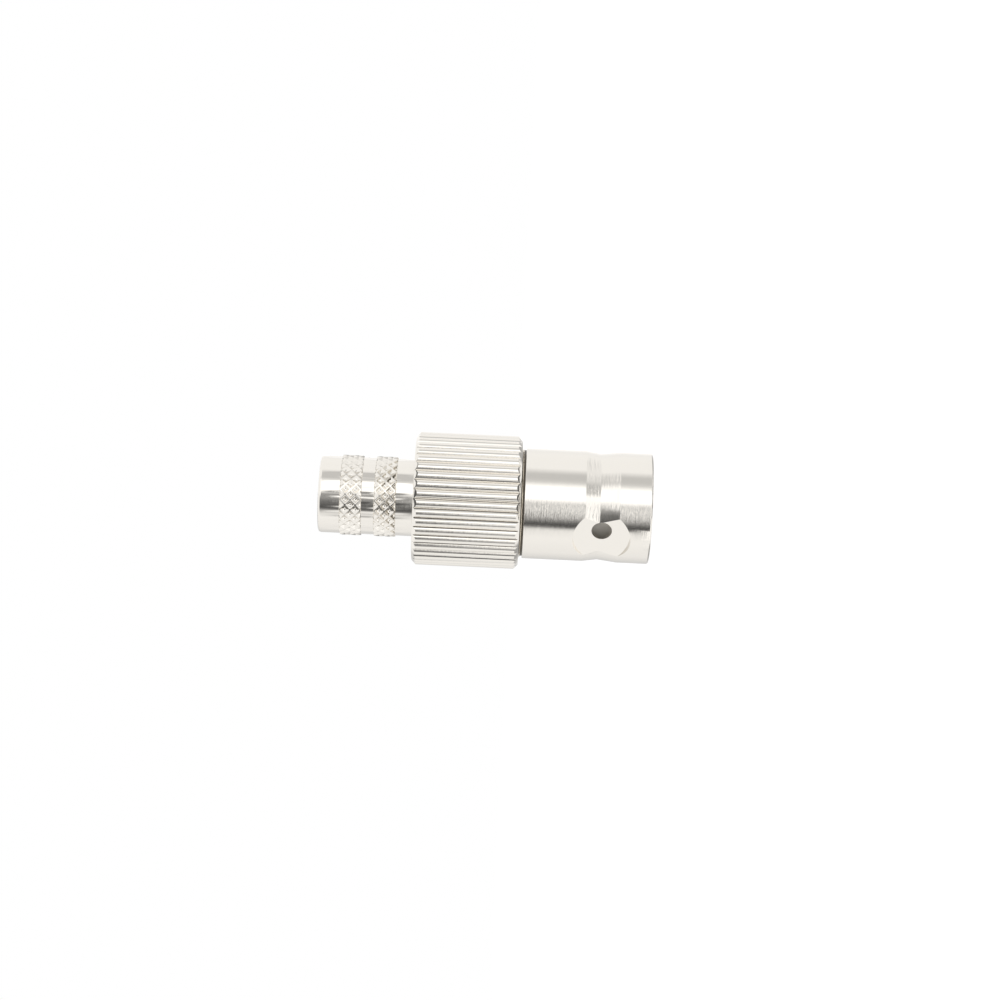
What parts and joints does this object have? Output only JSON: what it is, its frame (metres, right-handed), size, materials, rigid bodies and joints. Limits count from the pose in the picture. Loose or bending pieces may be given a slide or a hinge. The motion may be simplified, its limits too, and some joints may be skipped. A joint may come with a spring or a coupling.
{
  "type": "bayonet coaxial plug",
  "caption": "Crimp coaxial plug: ribbed bayonet coupling nut on a sprung body, slotted outer contact, gold centre pin and diamond-knurled crimp ferrule.",
  "frame": {"origin": "on the axis, at the front face of the coupling nut, which is the lowest face", "axes": "+Z along the axis from the front face to the cable end; +X through the flat round one lock hole"},
  "size_m": [0.0145, 0.0144, 0.0361],
  "materials": {
    "nickel_plate": "bright nickel plate over turned brass",
    "gold_plate": "gold plate over brass",
    "spring_bronze": "rolled phosphor bronze strip",
    "ptfe": "turned white fluoropolymer",
    "silicone": "moulded silicone rubber"
  },
  "bodies": {
    "plug": {"plug_body": "nickel_plate", "outer_contact": "nickel_plate", "front_insulator": "ptfe", "rear_insulator": "ptfe", "centre_pin": "gold_plate", "gasket": "silicone", "front_washer": "nickel_plate", "wave_spring_front": "spring_bronze", "wave_spring_rear": "spring_bronze", "retaining_ring": "spring_bronze", "crimp_stem": "nickel_plate"},
    "washer": {"slip_washer": "nickel_plate"},
    "coupling": {"coupling_nut": "nickel_plate"},
    "ferrule": {"crimp_ferrule": "nickel_plate"}
  },
  "joints": [
    {"name": "nut_press", "type": "slide", "parent": "plug", "child": "washer", "axis": [0, 0, 1], "range_m": [-0.0008, 0], "stiffness_N_per_m": 2000, "springref_m": 0.001, "deforming": ["wave_spring_front", "wave_spring_rear"]},
    {"name": "nut_turn", "type": "hinge", "parent": "washer", "child": "coupling", "pos_m": [0, 0, 0], "axis": [0, 0, 1], "continuous": true},
    {"name": "ferrule_slide", "type": "slide", "parent": "plug", "child": "ferrule", "axis": [0, 0, 1], "range_m": [0, 0.012]}
  ]
}
